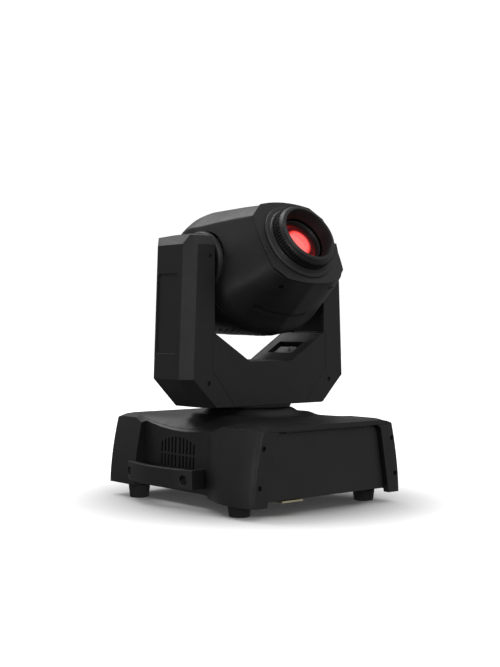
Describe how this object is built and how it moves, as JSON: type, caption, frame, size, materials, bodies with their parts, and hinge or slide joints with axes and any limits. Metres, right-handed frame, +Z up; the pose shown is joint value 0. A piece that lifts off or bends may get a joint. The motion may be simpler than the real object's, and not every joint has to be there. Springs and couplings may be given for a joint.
{
  "type": "moving head light",
  "caption": "Compact black moving head spotlight: flat base with side handles, panning U-shaped yoke and tilting head with a red lens",
  "frame": {"origin": "on the pan axis, at the bottom of the feet", "axes": "+Z up, -Y is the front of the base and the way the lens points, X runs along the tilt axis"},
  "size_m": [0.233, 0.2572, 0.3228],
  "materials": {
    "black_plastic": "matte",
    "black_coated_metal": "satin",
    "black_rubber": "matte",
    "steel": "brushed",
    "zinc_plate": "satin",
    "aluminium": "satin",
    "board_green": "satin",
    "red_lens": "polished",
    "grey_plastic": "satin",
    "smoked_window": "gloss",
    "battery_wrap": "satin"
  },
  "bodies": {
    "base": {"base_tray": "black_coated_metal", "base_top_cover": "black_plastic", "left_side_shell": "black_plastic", "right_side_shell": "black_plastic", "front_panel": "black_coated_metal", "rear_panel": "black_coated_metal", "left_handle": "black_plastic", "right_handle": "black_plastic", "front_left_foot": "black_rubber", "front_right_foot": "black_rubber", "rear_left_foot": "black_rubber", "rear_right_foot": "black_rubber", "latch_plate": "zinc_plate", "power_inlet": "black_rubber", "data_in_socket": "black_coated_metal", "data_out_socket": "black_coated_metal", "display_window": "smoked_window", "battery_pack": "battery_wrap", "pan_motor": "steel", "pan_belt": "black_rubber", "pan_bearing": "steel"},
    "yoke": {"yoke_chassis": "steel", "left_arm_cover": "black_plastic", "right_arm_cover": "black_plastic", "left_arm_inner_cover": "black_plastic", "right_arm_inner_cover": "black_plastic", "yoke_front_cover": "black_plastic", "yoke_rear_cover": "black_plastic", "yoke_saddle": "black_plastic", "pan_hub": "black_coated_metal", "tilt_motor": "steel", "tilt_belt": "black_rubber", "left_tilt_bearing": "steel", "right_tilt_bearing": "steel"},
    "head": {"head_front_shell": "black_plastic", "head_rear_shell": "black_plastic", "lens_flange": "black_plastic", "lens_step_ring": "black_plastic", "head_chassis": "steel", "optics_tube": "black_coated_metal", "led_module": "board_green", "heat_sink": "aluminium", "color_wheel_motor": "steel", "gobo_wheel_motor": "steel", "left_tilt_hub": "black_plastic", "right_tilt_hub": "black_plastic"},
    "focus": {"focus_ring": "black_plastic"},
    "lens_carriage": {"lens_cell": "black_coated_metal", "front_lens": "red_lens"},
    "color": {"color_wheel": "aluminium"},
    "gobo": {"gobo_wheel": "aluminium"},
    "fan": {"fan_rotor": "black_rubber"},
    "pan_pinion": {"pan_motor_pulley": "aluminium"},
    "tilt_pinion": {"tilt_motor_pulley": "aluminium"},
    "lock": {"tilt_lock_slider": "grey_plastic"},
    "switch": {"power_switch": "black_rubber"},
    "button_1": {"menu_button_1": "grey_plastic"},
    "button_2": {"menu_button_2": "grey_plastic"},
    "button_3": {"menu_button_3": "grey_plastic"},
    "button_4": {"menu_button_4": "grey_plastic"}
  },
  "joints": [
    {"name": "pan", "type": "hinge", "parent": "base", "child": "yoke", "pos_m": [0, 0, 0.1], "axis": [0, 0, 1], "range_deg": [-270, 270]},
    {"name": "tilt", "type": "hinge", "parent": "yoke", "child": "head", "pos_m": [0, 0, 0.2562], "axis": [-1, 0, 0], "range_deg": [-54, 175]},
    {"name": "focus_turn", "type": "hinge", "parent": "head", "child": "focus", "pos_m": [0, -0.08982, 0.28434], "axis": [0, -0.8695, 0.4939], "range_deg": [-60, 60]},
    {"name": "focus_travel", "type": "slide", "parent": "head", "child": "lens_carriage", "axis": [0, -0.8695, 0.4939], "range_m": [-0.003, 0.003]},
    {"name": "color_spin", "type": "hinge", "parent": "head", "child": "color", "pos_m": [0, 0.0173, 0.24879], "axis": [0, -0.8695, 0.4939], "continuous": true},
    {"name": "gobo_spin", "type": "hinge", "parent": "head", "child": "gobo", "pos_m": [0, -0.01139, 0.21448], "axis": [0, -0.8695, 0.4939], "continuous": true},
    {"name": "fan_spin", "type": "hinge", "parent": "head", "child": "fan", "pos_m": [0, 0.04408, 0.20827], "axis": [0, -0.8695, 0.4939], "continuous": true},
    {"name": "pan_pinion_turn", "type": "hinge", "parent": "base", "child": "pan_pinion", "pos_m": [0, 0.064, 0.068], "axis": [0, 0, 1], "range_deg": [-910, 910]},
    {"name": "tilt_pinion_turn", "type": "hinge", "parent": "yoke", "child": "tilt_pinion", "pos_m": [0.098, 0, 0.134], "axis": [-1, 0, 0], "range_deg": [-150, 485]},
    {"name": "lock_slide", "type": "slide", "parent": "yoke", "child": "lock", "axis": [0, -1, 0], "range_m": [0, 0.008]},
    {"name": "switch_rock", "type": "hinge", "parent": "base", "child": "switch", "pos_m": [0.048, 0.1226, 0.041], "axis": [1, 0, 0], "range_deg": [0, 12]},
    {"name": "button_1_press", "type": "slide", "parent": "base", "child": "button_1", "axis": [0, -1, 0], "range_m": [0, 0.0015], "stiffness_N_per_m": 400, "springref_m": -0.0005},
    {"name": "button_2_press", "type": "slide", "parent": "base", "child": "button_2", "axis": [0, -1, 0], "range_m": [0, 0.0015], "stiffness_N_per_m": 400, "springref_m": -0.0005},
    {"name": "button_3_press", "type": "slide", "parent": "base", "child": "button_3", "axis": [0, -1, 0], "range_m": [0, 0.0015], "stiffness_N_per_m": 400, "springref_m": -0.0005},
    {"name": "button_4_press", "type": "slide", "parent": "base", "child": "button_4", "axis": [0, -1, 0], "range_m": [0, 0.0015], "stiffness_N_per_m": 400, "springref_m": -0.0005}
  ],
  "couplings": [
    {"joint": "pan_pinion_turn", "follows": "pan", "ratio": 3.3333},
    {"joint": "tilt_pinion_turn", "follows": "tilt", "ratio": 2.75},
    {"joint": "focus_travel", "follows": "focus_turn", "m_per_rad": 0.0028648}
  ]
}
